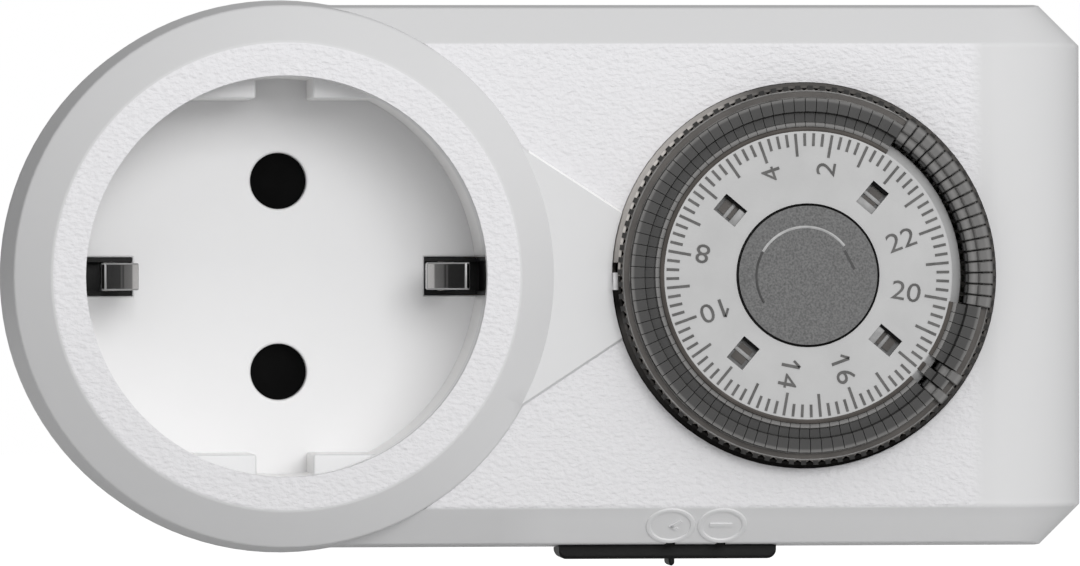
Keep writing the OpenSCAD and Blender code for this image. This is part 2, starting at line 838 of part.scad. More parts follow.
module dial_screw() {
    color("silver") upright() at(dial_at) difference() {
        union() {
            rod(1.08, 38, 45.4);
            rod(4.4, 45.3, 45.9);
        }
        block([-2.6, -0.35, 45.6], [2.6, 0.35, 46.5]);
    }
}

// One tappet at its place on the dial, moved out by `out`
module tappet(k, out) {
    half = tappet_pitch * 0.47;
    profile = [[14.62, 46.68], [14.62, 46.95], [15, 46.95], [15.1, 46.5], [15.95, 46.5], [16.1, head_top],
               [17.4, head_top], [17.4, rim_top + 0.12], [16.45, rim_top + 0.12], [16.45, 42.3],
               [15.4, 42.3], [15.4, 45.64]];
    reach = 20;
    rotate([0, 0, tappet_angle(k)]) translate([out, 0, 0]) union() {
        intersection() {
            rotate([90, 0, 0]) translate([0, 0, -1]) linear_extrude(2) polygon(profile);
            translate([0, 0, 42]) linear_extrude(6)
                polygon([[0, 0], reach * [cos(half), -sin(half)], reach * [cos(half), sin(half)]]);
        }
        block([15.4, -0.25, 39.7], [16.3, 0.25, 42.31]);
    }
}

module tappets_off() {
    color("dimgray") upright() at(dial_at) for (k = fixed_off) tappet(k, 0);
}

module tappets_on() {
    color("gray") upright() at(dial_at) for (k = fixed_on) tappet(k, tappet_travel);
}

module tappet_a() {
    color("gray") upright() at(dial_at) tappet(movable[0], tappet_travel);
}

module tappet_b() {
    color("gray") upright() at(dial_at) tappet(movable[1], tappet_travel);
}

module tappet_c() {
    color("dimgray") upright() at(dial_at) tappet(movable[2], 0);
}

module tappet_d() {
    color("dimgray") upright() at(dial_at) tappet(movable[3], 0);
}

// ---------------------------------------------------------------- override and switch

tail_at = [36, -20];
tail_r = 1;
tail_arm = tail_at - lever_at;
// how far the tail moves as the lever turns, and the slope that lifts it that far
tail_move = [tail_arm[0] * cos(lever_angle) - tail_arm[1] * sin(lever_angle),
             tail_arm[0] * sin(lever_angle) + tail_arm[1] * cos(lever_angle)] - tail_arm;
ramp_slope = tail_move[1] / (slide_travel - tail_move[0]);

module override_slider() {
    bar_x = [slide_x - 11, slide_x + 10.65];
    outer = -28.05;
    lead = 0.7;
    grip_x = slide_x + 0.3;
    bar_z = [31.4, 37.6];
    play = 0.06;
    color("black") upright() union() {
        // bar under the housing, with cut corners and an inner face that follows the wall
        intersection() {
            translate([0, 0, bar_z[0]]) linear_extrude(bar_z[1] - bar_z[0]) difference() {
                translate([bar_x[0], outer]) square([bar_x[1] - bar_x[0], -half_h - outer]);
                for (x = bar_x) translate([x, outer]) rotate([0, 0, 45]) square(lead, center = true);
            }
            translate([bar_x[0] - 1, 0, 0]) rotate([90, 0, 90]) linear_extrude(bar_x[1] - bar_x[0] + 2)
                polygon([[outer - 1, bar_z[0] - 1], [-side_wall_y(bar_z[0] - 1) - play, bar_z[0] - 1],
                         [-side_wall_y(bar_z[1] + 1) - play, bar_z[1] + 1], [outer - 1, bar_z[1] + 1]]);
        }
        block([grip_x - 0.3, -28.75, 31.8], [grip_x + 0.3, -28, 37.2]);
        block([slide_x - 3.2, -27.2, 33.15], [slide_x + 3.2, -24, 35.85]);
        block([29, -24.5, 32], [45, -23.6, 36.2]);
        // ramp that lifts the lever's tail
        translate([0, 0, 33.2]) linear_extrude(2.2)
            polygon([[29, -23.7], [39, -23.7], [39, ramp_y(39)], [29, ramp_y(29)]]);
    }
}

// Half height of the straight wall at a depth in front of the joint line
function side_wall_y(z) = half_h + side_flare * (face_z - chamfer - z) / (face_z - chamfer - split_z);

function ramp_y(x) = tail_at[1] - tail_r - 0.1 - ramp_slope * (x - tail_at[0]);

// Leaf that holds the slider in either place
module detent_spring() {
    color("silver") upright() union() {
        block([40, -23.5, 36.6], [52, -21.4, 37]);
        block([40, -23.5, 36.3], [41.2, -21.4, 37]);
        block([50.6, -24.3, 36.6], [52, -21.4, 38.6]);
    }
}

module switch_lever() {
    nose = [dial_x - 18, 0];
    color("ivory") upright() difference() {
        union() {
            at(lever_at) rod(2.3, 28.6, 38.6);
            // arm to the nose beside the tappets
            arm_plate(lever_at, nose, 1.6, 37.3, 38.6);
            at(nose) rod(0.5, 37.5, 40.3);
            // tail that the slider lifts
            arm_plate(lever_at, tail_at, 1.6, 33.3, 35.2);
            at(tail_at) rod(tail_r, 33.3, 35.2);
            // paddle on the switch's plunger
            block([28.95, lever_at[1] + 1.4, 28.6], [30.4, plunger_y + 1.6, 31.8]);
        }
        at(lever_at) rod(1.05, 28, 40);
    }
}

// Flat bar of the given width from the wall of a hub at one point to another point
module arm_plate(a, b, width, z_low, z_high) {
    at(a) rotate([0, 0, direction(a, b)]) block([1.6, -width / 2, z_low], [norm(b - a), width / 2, z_high]);
}

module lever_post() {
    color("silver") upright() at(lever_at) union() {
        rod(1, can_z, 39.2);
        rod(1.9, can_z, 24);
    }
}

module lever_spring() {
    color("silver") upright() union() {
        at(lever_at) tube(1.9, 1.1, 25, 28.4);
        at(lever_at) block([1.5, -0.3, 25], [6.5, 0.3, 25.6]);
    }
}

module switch_case() {
    low = switch_box[0];
    high = switch_box[1];
    color("dimgray") upright() difference() {
        block(low, high);
        block(low + [0.9, 0.9, 1], high + [-0.9, -0.9, 1]);
        translate([high[0] - 2, plunger_y, 30.2]) rotate([0, 90, 0]) cylinder(h = 4, r = plunger_r + 0.05);
        // slots for the two terminals
        block([23.5, high[1] - 2, 28.8], [25.6, high[1] + 1, 35]);
        block([25.4, low[1] - 1, 28.8], [26.8, low[1] + 2, 35]);
    }
}

module switch_plunger() {
    color("ivory") upright() translate([26.77, plunger_y, 30.2]) rotate([0, 90, 0])
        cylinder(h = 2.11, r = plunger_r);
}

// Moving blade of the switch, hinged at its lower end
module contact_blade() {
    color("goldenrod") upright() union() {
        block([26.3, -8.1, 28.9], [26.6, 6.6, 31.4]);
        at([26.2, -8.1]) rod(0.5, 28.9, 31.4);
        translate([26.35, 5.4, 30.1]) rotate([0, -90, 0]) cylinder(h = 0.6, r = 0.9);
    }
}

module fixed_contact() {
    color("goldenrod") upright() union() {
        block([23.7, 4, 29], [24, 8.7, 31.3]);
        translate([23.95, 5.4, 30.1]) rotate([0, 90, 0]) cylinder(h = 0.44, r = 0.9);
    }
}

rear_shell();
front_shell();
housing_screws();
socket_cup();
pin_carrier();
live_pin();
neutral_pin();
plug_earth_left();
plug_earth_right();
earth_sleeve();
earth_bridge();
earth_clip_left();
earth_clip_right();
clip_channels();
contact_carrier();
live_contact();
neutral_contact();
neutral_strap();
live_strap_in();
live_strap_out();
shutter();
shutter_spring();
movement_plate();
front_plate();
plate_pillars();
motor_can();
motor_cover();
coil_bobbin();
coil_winding();
motor_leads();
rotor_magnet();
rotor_arbor();
gear_pins();
gear_one();
gear_two();
clutch_arbor();
clutch_wheel();
clutch_spring();
dial_bezel();
dial_ring();
dial_gear();
dial_face();
centre_knob();
dial_screw();
tappets_off();
tappets_on();
tappet_a();
tappet_b();
tappet_c();
tappet_d();
override_slider();
detent_spring();
switch_lever();
lever_post();
lever_spring();
switch_case();
switch_plunger();
contact_blade();
fixed_contact();
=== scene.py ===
# %% [markdown]
# # A plug-in timer switch
# This notebook gives each of those pieces its finish, and adds the fine detail that the
# engineering model leaves out: figures, ticks, softened edges and the grain of the plastic.

import json
import math

import bmesh
import bpy
from mathutils import Matrix, Quaternion, Vector


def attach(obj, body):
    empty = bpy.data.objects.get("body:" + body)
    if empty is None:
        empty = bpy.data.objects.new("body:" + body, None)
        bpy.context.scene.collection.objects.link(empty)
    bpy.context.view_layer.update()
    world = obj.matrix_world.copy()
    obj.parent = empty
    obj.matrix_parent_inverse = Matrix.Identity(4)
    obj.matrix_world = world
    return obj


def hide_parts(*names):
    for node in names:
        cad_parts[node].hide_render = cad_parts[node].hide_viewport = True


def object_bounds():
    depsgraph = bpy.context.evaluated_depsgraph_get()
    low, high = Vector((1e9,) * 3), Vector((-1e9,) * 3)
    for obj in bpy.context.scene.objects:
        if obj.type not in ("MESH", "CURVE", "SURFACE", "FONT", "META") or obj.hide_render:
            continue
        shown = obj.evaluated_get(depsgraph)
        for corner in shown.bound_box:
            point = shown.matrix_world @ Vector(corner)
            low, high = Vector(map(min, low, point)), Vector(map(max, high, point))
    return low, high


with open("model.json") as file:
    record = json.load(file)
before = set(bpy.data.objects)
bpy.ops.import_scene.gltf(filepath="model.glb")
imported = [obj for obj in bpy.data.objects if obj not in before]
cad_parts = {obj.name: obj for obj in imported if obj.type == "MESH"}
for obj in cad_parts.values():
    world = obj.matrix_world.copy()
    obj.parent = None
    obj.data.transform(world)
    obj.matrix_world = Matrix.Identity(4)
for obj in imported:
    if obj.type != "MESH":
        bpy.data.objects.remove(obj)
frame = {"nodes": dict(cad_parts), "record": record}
cad_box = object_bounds()
nodes = frame["nodes"]

# %% [markdown]
# ## Millimetres
# The object is small and its drawing is in millimetres, while Blender works in metres. `spot`
# turns a drawing position into a place in the scene: `x` to the right of the socket's axis, `up`
# above it, and `out` in front of the plug's face.

# %% Lengths and places
MM = 0.001


def spot(x, up, out=0.0):
    return Vector((x * MM, -out * MM, up * MM))


FACE = 43.5          # flat front face
RING = 47.5          # ring round the socket
DIAL_X = 51.2        # axis of the dial
DIAL_TOP = 47.2      # light face of the dial
STEP = 3.75          # degrees for a quarter of an hour
HOUR = 4 * STEP
QUARTERS = 96        # in a day
print("the face stands", FACE, "mm out and the ring", RING, "mm")

# %% [markdown]
# ## The camera
# A small product looks flat and true from far away through a long lens. The camera stands a
# little to the left, so that the side of the round socket shows, and looks at the middle.

# %% Camera
SENSOR = 36.0        # width of the sensor in millimetres
LENS = 331.0         # focal length in millimetres
ROLL = -0.12         # degrees that the camera leans
EYE_X = -48.5        # left of the socket's axis
EYE_AWAY = 970.0     # in front of the ring
AIM_X, AIM_UP = 24.79, -0.70   # the middle of the view
camera_data = bpy.data.cameras.new("camera")
camera = bpy.data.objects.new("camera", camera_data)
bpy.context.scene.collection.objects.link(camera)
eye = spot(EYE_X, 0.0, RING + EYE_AWAY)
target = spot(AIM_X, AIM_UP, RING)
camera_data.sensor_fit = "HORIZONTAL"
camera_data.sensor_width = SENSOR
camera_data.lens = LENS
camera_data.clip_start, camera_data.clip_end = 0.05, 20.0
camera.location = eye
camera.rotation_mode = "QUATERNION"
lean = Quaternion((0, 0, 1), math.radians(ROLL))
camera.rotation_quaternion = (target - eye).to_track_quat("-Z", "Y") @ lean
bpy.context.scene.camera = camera
bpy.context.scene.view_settings.view_transform = "Standard"
print("the camera stands", round((target - eye).length, 3), "m away")

# %% [markdown]
# ## Short words for shader nodes
# `add` makes a node and sets its inputs, and `math_node` takes numbers or sockets alike. `between`
# is 1 where a value lies between two numbers, `standing_out` is 1 on one level of the object, and
# `along` and `share` grow over a distance. `blend` mixes two colours, and `sight` tells the kinds
# of rays apart.

# %% Shader helpers
def add(tree, kind, **values):
    node = tree.nodes.new(kind)
    for name, value in values.items():
        node.inputs[name.replace("_", " ")].default_value = value
    return node


def math_node(tree, operation, a, b):
    node = tree.nodes.new("ShaderNodeMath")
    node.operation = operation
    for slot_number, value in enumerate((a, b)):
        if isinstance(value, (int, float)):
            node.inputs[slot_number].default_value = value
        else:
            tree.links.new(value, node.inputs[slot_number])
    return node.outputs[0]


def between(tree, value, low, high):
    return math_node(tree, "MULTIPLY", math_node(tree, "GREATER_THAN", value, low),
                     math_node(tree, "LESS_THAN", value, high))


def standing_out(tree, y, low, high):
    """1 where the object axis `y` is `low` to `high` millimetres in front of the plug's face."""
    return between(tree, y, -high * MM, -low * MM)


def along(tree, value, start, end):
    """0 at `start` and 1 at `end` millimetres, and no less or more beyond them."""
    span = add(tree, "ShaderNodeMapRange", From_Min=start * MM, From_Max=end * MM)
    tree.links.new(value, span.inputs["Value"])
    return span.outputs["Result"]


def share(tree, value, start, length):
    """0 at `start` and 1 after `length` millimetres more, for a colour ramp."""
    return math_node(tree, "DIVIDE", math_node(tree, "SUBTRACT", value, start * MM), length * MM)


def blend(tree, factor, first, second):
    """A mix of two colours, each a value or the output of another node."""
    mix = tree.nodes.new("ShaderNodeMix")
    mix.data_type = "RGBA"
    tree.links.new(factor, mix.inputs["Factor"])
    for key, colour in (("A", first), ("B", second)):
        if isinstance(colour, tuple):
            mix.inputs[key].default_value = colour
        else:
            tree.links.new(colour, mix.inputs[key])
    return mix.outputs["Result"]


def sight(tree, by_eye, by_gloss, otherwise=0.0):
    """One strength for camera and glass rays, one for glossy rays, and one for the rest."""
    rays = tree.nodes.new("ShaderNodeLightPath").outputs
    plain = math_node(tree, "MAXIMUM", rays["Is Camera Ray"], rays["Is Transmission Ray"])
    seen = math_node(tree, "MULTIPLY", plain, by_eye)
    gloss = math_node(tree, "MULTIPLY", rays["Is Glossy Ray"], by_gloss)
    return math_node(tree, "MAXIMUM", math_node(tree, "MAXIMUM", seen, gloss), otherwise)


# %% [markdown]
# ## Light
# White plastic needs light from everywhere, with more from the front, above and to the right, so
# that each bevel keeps its own tone. The world is white where the camera or a glass sees it. The
# light that it sheds, and what a gloss sees, grow from the back of the studio to the front.

# %% World and lamps
SHED = 0.41                     # light from the sides
PULL = (0.14, -0.34, 0.12)      # how it grows to the right, to the front and upwards
MIRRORED_SIDE = 0.55            # what a gloss sees at the sides
MIRRORED_PULL = 1.2             # how much more of the pull it sees
KEY_FROM = (0.24, -1.31, 0.36)  # the lamp's place from the middle, in metres
KEY_SIZE = (0.7, 0.44)
KEY_POWER = 8.2
world = bpy.data.worlds.new("studio")
world.use_nodes = True
bpy.context.scene.world = world
tree = world.node_tree
background = tree.nodes["Background"]
background.inputs["Color"].default_value = (1, 1, 1, 1)
ray = tree.nodes.new("ShaderNodeTexCoord")
side = tree.nodes.new("ShaderNodeVectorMath")
side.operation = "DOT_PRODUCT"
side.inputs[1].default_value = PULL
tree.links.new(ray.outputs["Generated"], side.inputs[0])
shed = math_node(tree, "MAXIMUM", math_node(tree, "ADD", side.outputs["Value"], SHED), 0.0)
pulled = math_node(tree, "MULTIPLY", side.outputs["Value"], MIRRORED_PULL)
mirrored = math_node(tree, "ADD", pulled, MIRRORED_SIDE)
tree.links.new(sight(tree, 1.0, mirrored, shed), background.inputs["Strength"])


def soft_lamp(name, place, aim, size, power):
    lamp = bpy.data.lights.new(name, "AREA")
    lamp.shape = "RECTANGLE"
    lamp.size, lamp.size_y = size
    lamp.energy = power
    thing = bpy.data.objects.new(name, lamp)
    bpy.context.scene.collection.objects.link(thing)
    thing.location = place
    thing.rotation_mode = "QUATERNION"
    thing.rotation_quaternion = (aim - place).to_track_quat("-Z", "Y")


middle = spot(26, 0, 30)
soft_lamp("key", middle + Vector(KEY_FROM), middle, KEY_SIZE, KEY_POWER)

# %% [markdown]
# ## The floor
# A plain pale sheet lies a finger's width under the object, which its plug holds up in use. It
# takes a soft shadow in every view, and hides the object from below. Its glow is only for the eye:
# it sheds none on the object, whose lower bevels would otherwise look as bright as the upper ones.

# %% Floor
FLOOR_DROP = 0.011       # metres below the object
FLOOR_X = 0.026          # the middle of the sheet
FLOOR_R = 1.2
FLOOR_TONE = 0.78
FLOOR_GLOW = 0.66        # as the eye sees it
FLOOR_MIRRORED = 0.05    # as a gloss sees it
floor_bm = bmesh.new()
bmesh.ops.create_circle(floor_bm, cap_ends=True, segments=96, radius=FLOOR_R)
floor_mesh = bpy.data.meshes.new("floor")
bmesh.ops.translate(floor_bm, verts=floor_bm.verts, vec=(FLOOR_X, 0, cad_box[0].z - FLOOR_DROP))
floor_bm.to_mesh(floor_mesh)
floor_bm.free()
floor = bpy.data.objects.new("floor", floor_mesh)
bpy.context.scene.collection.objects.link(floor)

floor_paint = bpy.data.materials.new("pale floor")
floor_paint.use_nodes = True
tree = floor_paint.node_tree
tree.nodes.clear()
out = tree.nodes.new("ShaderNodeOutputMaterial")
both = tree.nodes.new("ShaderNodeAddShader")
matt = tree.nodes.new("ShaderNodeBsdfDiffuse")
matt.inputs["Color"].default_value = (FLOOR_TONE, FLOOR_TONE, FLOOR_TONE, 1)
glow = tree.nodes.new("ShaderNodeEmission")
glow.inputs["Color"].default_value = (1, 1, 1, 1)
tree.links.new(sight(tree, FLOOR_GLOW, FLOOR_MIRRORED), glow.inputs["Strength"])
tree.links.new(matt.outputs[0], both.inputs[0])
tree.links.new(glow.outputs[0], both.inputs[1])
tree.links.new(both.outputs[0], out.inputs["Surface"])
floor_mesh.materials.append(floor_paint)
print("the floor lies", round(FLOOR_DROP / MM, 1), "mm below the object")

# %% [markdown]
# ## Plastics
# A moulding is never one flat colour. Its pigment is slightly cloudy, its polish varies, and a
# sparked tool leaves a fine pebble grain. One recipe makes them all: a slow noise moves the colour
# and the polish, and a fast noise gives the grain. It reads Object coordinates, which are metres.

# %% The moulding recipe
def grey(level, warm=0.0):
    return (level * (1 + warm), level, level * (1 - warm), 1)


def moulding(name, dark, light, rough=(0.35, 0.5), cloud=0.004, grain=0.0004, depth=0.02,
             polish=0.5):
    """Plastic whose colour drifts from `dark` to `light` over `cloud` metres, with a grain."""
    material = bpy.data.materials.new(name)
    material.use_nodes = True
    tree = material.node_tree
    shader = tree.nodes["Principled BSDF"]
    shader.inputs["Specular IOR Level"].default_value = polish
    place = tree.nodes.new("ShaderNodeTexCoord")
    drift = add(tree, "ShaderNodeTexNoise", Scale=1 / cloud, Detail=3.0)
    spread = add(tree, "ShaderNodeMapRange", From_Min=0.3, From_Max=0.7)
    tint = tree.nodes.new("ShaderNodeMix")
    tint.data_type = "RGBA"
    tint.inputs["A"].default_value = dark
    tint.inputs["B"].default_value = light
    sheen = add(tree, "ShaderNodeMapRange", To_Min=rough[0], To_Max=rough[1])
    pebbles = add(tree, "ShaderNodeTexNoise", Scale=1 / grain, Detail=2.0)
    pebbles.name = "pebbles"
    relief = add(tree, "ShaderNodeBump", Strength=1.0, Distance=depth * MM)
    link = tree.links.new
    link(place.outputs["Object"], drift.inputs["Vector"])
    link(place.outputs["Object"], pebbles.inputs["Vector"])
    link(drift.outputs["Fac"], spread.inputs["Value"])
    link(spread.outputs["Result"], tint.inputs["Factor"])
    link(drift.outputs["Fac"], sheen.inputs["Value"])
    link(tint.outputs["Result"], shader.inputs["Base Color"])
    link(sheen.outputs["Result"], shader.inputs["Roughness"])
    link(pebbles.outputs["Fac"], relief.inputs["Height"])
    link(relief.outputs["Normal"], shader.inputs["Normal"])
    return material


def object_place(tree):
    """The Object coordinates that a moulding's nodes read."""
    return next(n for n in tree.nodes if n.type == "TEX_COORD").outputs["Object"]


def object_axes(tree):
    """The same place as its x, y and z, in metres; y points away from the viewer."""
    split = tree.nodes.new("ShaderNodeSeparateXYZ")
    tree.links.new(object_place(tree), split.inputs[0])
    return split.outputs["X"], split.outputs["Y"], split.outputs["Z"]


def paint(material, colour):
    """Gives the shader another node's colour in place of the recipe's own."""
    tree = material.node_tree
    tree.links.new(colour, tree.nodes["Principled BSDF"].inputs["Base Color"])


def metal(name, dark, light, rough=(0.2, 0.35), grain=0.0003, depth=0.004, stretch=(1, 1, 1)):
    """Metal with fine marks; `stretch` draws them out along an axis."""
    material = moulding(name, dark, light, rough, 0.003, grain, depth)
    tree = material.node_tree
    tree.nodes["Principled BSDF"].inputs["Metallic"].default_value = 1.0
    drawn_out = add(tree, "ShaderNodeMapping", Scale=stretch)
    tree.links.new(object_place(tree), drawn_out.inputs["Vector"])
    for node in tree.nodes:
        if node.type == "TEX_NOISE":
            tree.links.new(drawn_out.outputs["Vector"], node.inputs["Vector"])
    return material


# %% [markdown]
# ## The white housing
# The flat face and the ring have a pebble grain that scatters light and looks whiter; the bevels,
# the wedge and the right end are smooth. The tool was sparked only on those two levels, so the
# material finds them by how far each point stands out from the wall. Light is painted in as well:
# the grain grows darker towards the lower edge as painted shade, the straight lower bevel is
# painted lighter in place of light from below, and the wedge's upper edge carries a painted
# highlight.

# %% Housing material
SMOOTH_WHITE = (0.675, 0.675, 0.68, 1)
LOWER_BEVEL_PAINTED_LIGHT = (0.735, 0.735, 0.74, 1)  # the straight lower bevel, painted lighter in place of light from below
GRAINED_SHADED_LOW = (0.715, 0.71, 0.724, 1)  # painted shade: the grain is darker towards the lower edge
GRAINED_WHITE = (0.77, 0.765, 0.783, 1)
WEDGE_PAINTED_HIGHLIGHT = (0.95, 0.95, 0.95, 1)     # painted highlight on the wedge's upper edge
FACE_OUT = (FACE - 0.1, FACE + 0.12)   # the two sparked levels
RING_OUT = (RING - 0.05, RING + 0.1)
GRAIN_END = (69.0, 67.6)               # the grain fades before the curved right end
GRAIN_SHADE_SPAN = 22                          # its painted shade fades between this far below and above the axis
BEVEL_X, BEVEL_UP = (21, 26), (-22, -24)   # where the lower bevel's painted light fades in
WEDGE_OUT, WEDGE_X = (43.55, 43.98), (24, 33.5)
WEDGE_HIGHLIGHT_UP = 5                           # only the wedge's edge above this takes the painted highlight

housing_white = moulding("grained white housing", SMOOTH_WHITE, SMOOTH_WHITE, (0.38, 0.46), 0.006,
                         0.0004, 0.2, 0.2)
tree = housing_white.node_tree
x, y, up = object_axes(tree)
on_face = math_node(tree, "MULTIPLY", standing_out(tree, y, *FACE_OUT), along(tree, x, *GRAIN_END))
grained = math_node(tree, "ADD", on_face, standing_out(tree, y, *RING_OUT))
# painted shade: the grain grows darker towards the lower edge
grain_with_painted_shade = blend(tree, along(tree, up, -GRAIN_SHADE_SPAN, GRAIN_SHADE_SPAN), GRAINED_SHADED_LOW, GRAINED_WHITE)
# painted light: the straight lower bevel is painted lighter
painted_light_bevel = math_node(tree, "MULTIPLY", along(tree, x, *BEVEL_X), along(tree, up, *BEVEL_UP))
white = blend(tree, grained, blend(tree, painted_light_bevel, SMOOTH_WHITE, LOWER_BEVEL_PAINTED_LIGHT), grain_with_painted_shade)
# painted highlight along the wedge's upper edge
on_wedge = math_node(tree, "MULTIPLY", standing_out(tree, y, *WEDGE_OUT),
                     between(tree, x, *(end * MM for end in WEDGE_X)))
above = math_node(tree, "GREATER_THAN", up, WEDGE_HIGHLIGHT_UP * MM)
paint(housing_white, blend(tree, math_node(tree, "MULTIPLY", on_wedge, above), white, WEDGE_PAINTED_HIGHLIGHT))

relief = next(n for n in tree.nodes if n.type == "BUMP")
tree.links.new(grained, relief.inputs["Strength"])
drawn_out = add(tree, "ShaderNodeMapping", Scale=(0.6, 1, 1))
tree.links.new(object_place(tree), drawn_out.inputs["Vector"])
tree.links.new(drawn_out.outputs["Vector"], tree.nodes["pebbles"].inputs["Vector"])
print(housing_white.name, "has", len(tree.nodes), "nodes")

# %% [markdown]
# ## The well
# The socket's cup is polished. Its colours also hold the look of light that comes in from above:
# the floor grows whiter towards the lower edge, and the walls are whiter than the ends of the guide
# blocks. It is painted, so it stays where it is under another light.

# %% Well material
WELL_HIGH = (0.765, 0.765, 0.77, 1)
WELL_LOW = (0.865, 0.862, 0.866, 1)
WELL_WALL = (0.9, 0.895, 0.89, 1)
GUIDE_WHITE = (0.76, 0.76, 0.765, 1)
WELL_FADE = (2, -17)         # heights over which the floor grows whiter
WALL_OUT = (30.3, 42.3)
GUIDE_OUT = (42.3, 43)       # the ends of the guide blocks
POLISHED = (WELL_HIGH, WELL_HIGH, (0.25, 0.35), 0.01, 0.0008, 0.002, 0.4)
inner_white = moulding("inner white", *POLISHED)
well_white = moulding("well white", *POLISHED)
tree = well_white.node_tree
x, y, up = object_axes(tree)
well_floor = blend(tree, along(tree, up, *WELL_FADE), WELL_HIGH, WELL_LOW)
well_wall = blend(tree, standing_out(tree, y, *WALL_OUT), well_floor, WELL_WALL)
paint(well_white, blend(tree, standing_out(tree, y, *GUIDE_OUT), well_wall, GUIDE_WHITE))
print(well_white.name, "has", len(tree.nodes), "nodes")

# %% [markdown]
# ## The other finishes
# Every other piece is a moulding or a metal from the same two recipes. The dial's greys are close
# together, so each has its own name, and the blacks differ most in how they shine.

# %% Other materials
frame_plastic = moulding("frame plastic", (0.62, 0.6, 0.55, 1), (0.68, 0.66, 0.61, 1))
gear_plastic = moulding("gear plastic", (0.66, 0.63, 0.54, 1), (0.74, 0.71, 0.62, 1))
bobbin_plastic = moulding("bobbin plastic", (0.66, 0.6, 0.45, 1), (0.72, 0.66, 0.5, 1))
face_grey = moulding("dial face grey", grey(0.46), grey(0.5), (0.35, 0.45), 0.004, 0.0003, 0.003,
                     0.3)
clip_grey = moulding("window clip grey", grey(0.26), grey(0.36), (0.35, 0.45), 0.001, 0.0003, 0.003,
                     0.3)
floor_grey = moulding("window floor grey", grey(0.1), grey(0.16), (0.35, 0.45), 0.001, 0.0003,
                      0.003, 0.3)
# painted shade: the figures and ticks are the face's plastic in relief, painted darker as their
# shade
relief_shade_grey = moulding("figure grey", grey(0.085, 0.02), grey(0.13, 0.02), (0.4, 0.5), 0.001, 0.0002,
                    0.003, 0.2)
tappet_dark = moulding("tappet charcoal", grey(0.045, 0.02), grey(0.065, 0.02), (0.35, 0.5), 0.002,
                       0.0002, 0.004, 0.25)
tappet_grey = moulding("tappet grey", grey(0.13, 0.01), grey(0.17, 0.01), (0.35, 0.5), 0.002,
                       0.0002, 0.004, 0.3)
rim_brown = moulding("smoky rim", (0.055, 0.049, 0.044, 1), (0.082, 0.073, 0.066, 1), (0.2, 0.3),
                     0.003, 0.0003, 0.002, 0.3)
# painted highlight: the rim's beads are painted lighter than the rim
bead_highlight_grey = moulding("bead highlight", grey(0.1, 0.03), grey(0.2, 0.03), (0.25, 0.35), 0.0012, 0.0003,
                     0.002, 0.4)
knob_grey = moulding("speckled knob", grey(0.08), grey(0.175), (0.4, 0.6), 0.0002, 0.0002, 0.02,
                     0.3)
# smoother than the knob, and painted lighter as a highlight
arrow_highlight_grey = moulding("polished arrow highlight", grey(0.34), grey(0.52), (0.25, 0.35), 0.0012, 0.0003, 0.002,
                      0.4)
# painted shade: the arrow's tail and barb are painted dark
arrow_shade_grey = moulding("arrow shade grey", grey(0.055), grey(0.08), (0.4, 0.5), 0.001, 0.0002, 0.003,
                    0.2)
tooth_black = moulding("grip teeth", grey(0.02, 0.03), grey(0.04, 0.03), (0.3, 0.45), 0.001, 0.0003,
                       0.002, 0.1)
bezel_black = moulding("glossy bezel with painted reflection", grey(0.004), grey(0.008), (0.12, 0.2), 0.005, 0.001, 0.001,
                       0.0)
shutter_black = moulding("shutter black", grey(0.002), grey(0.004), (0.08, 0.14), 0.005, 0.001,
                         0.001, 0.03)
slider_black = moulding("slider black", grey(0.005), grey(0.009), (0.35, 0.5), 0.003, 0.0003, 0.01,
                        0.15)
shade_and_notch_black = moulding("shade and notch black", grey(0.003), grey(0.005), (0.6, 0.7), 0.003, 0.0003, 0.01,
                      0.05)
nickel = metal("bright nickel", (0.55, 0.53, 0.5, 1), (0.72, 0.7, 0.66, 1), (0.16, 0.28))
brass = metal("pressed brass", (0.62, 0.42, 0.16, 1), (0.75, 0.53, 0.23, 1), (0.22, 0.35))
steel = metal("bright steel", (0.45, 0.45, 0.45, 1), (0.6, 0.6, 0.6, 1), (0.22, 0.38))
can_zinc = metal("zinc-plated can", (0.42, 0.43, 0.45, 1), (0.58, 0.59, 0.6, 1), (0.3, 0.45))
ferrite = moulding("ferrite", grey(0.03), grey(0.05), (0.5, 0.7))
copper = metal("enamelled copper", (0.35, 0.1, 0.04, 1), (0.5, 0.17, 0.07, 1), (0.25, 0.35), 0.0002,
               0.02, (1, 12, 1))
lead_red = moulding("red insulation", (0.35, 0.03, 0.02, 1), (0.42, 0.04, 0.03, 1), (0.3, 0.4))
print(len(bpy.data.materials), "materials so far")

# %% [markdown]
# ## Painted light that follows the form
# These tones are painted light. The bezel carries a painted reflection of the studio that differs
# around its edge, each earth clip's sloping leaf a painted reflection of the dark well, and every
# tappet painted highlights and shade along its steps. All are drawn by a ramp: over the angle, or
# over a distance from an axis. The ramp of the switched-on tappets is near black up to 15.85 mm, as
# painted shade, so that their inner lips look like the dark gap beside the face; the lips are there
# all the same.

# %% Ramps
def ramp_over(material, fraction, stops, warm=0.02):
    """Colours a material by a 0 to 1 value, with a grey level at each stop."""
    tree = material.node_tree
    ramp = tree.nodes.new("ShaderNodeValToRGB")
    marks = ramp.color_ramp.elements
    while len(marks) < len(stops):
        marks.new(0.5)
    for mark, (place, level) in zip(marks, stops):
        mark.position, mark.color = place, grey(level, warm)
    tree.links.new(fraction, ramp.inputs["Fac"])
    paint(material, ramp.outputs["Color"])


def from_dial_axis(tree):
    """How far to the right of the dial's axis, and how far above it, in metres."""
    x, y, up = object_axes(tree)
    return math_node(tree, "SUBTRACT", x, DIAL_X * MM), up


